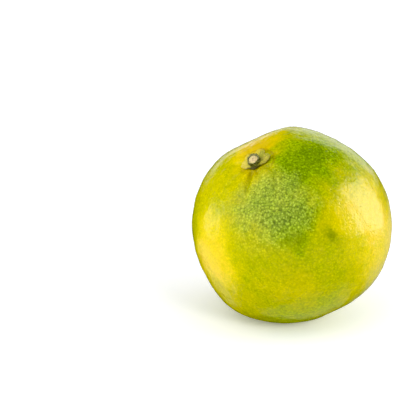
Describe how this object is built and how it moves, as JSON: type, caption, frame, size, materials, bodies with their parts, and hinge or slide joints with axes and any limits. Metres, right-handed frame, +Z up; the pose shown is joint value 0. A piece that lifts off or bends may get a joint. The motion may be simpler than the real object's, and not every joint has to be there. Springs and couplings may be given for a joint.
{
  "type": "mandarin orange",
  "caption": "Whole unpeeled mandarin with a lopsided round body, puckered stem end, lobed calyx, cut stem stub and a small flat spot to rest on.",
  "frame": {"origin": "middle of the small flat spot on the underside that the fruit rests on", "axes": "+Z up as the fruit lies on a table, front at -Y; the stem end points up and leans to the front left, about 35 degrees from +Z"},
  "size_m": [0.0702, 0.0706, 0.0668],
  "materials": {
    "peel": "satin",
    "calyx": "matte",
    "stem": "matte"
  },
  "bodies": {
    "root": {"fruit": "peel", "calyx": "calyx", "stem": "stem"}
  },
  "joints": []
}
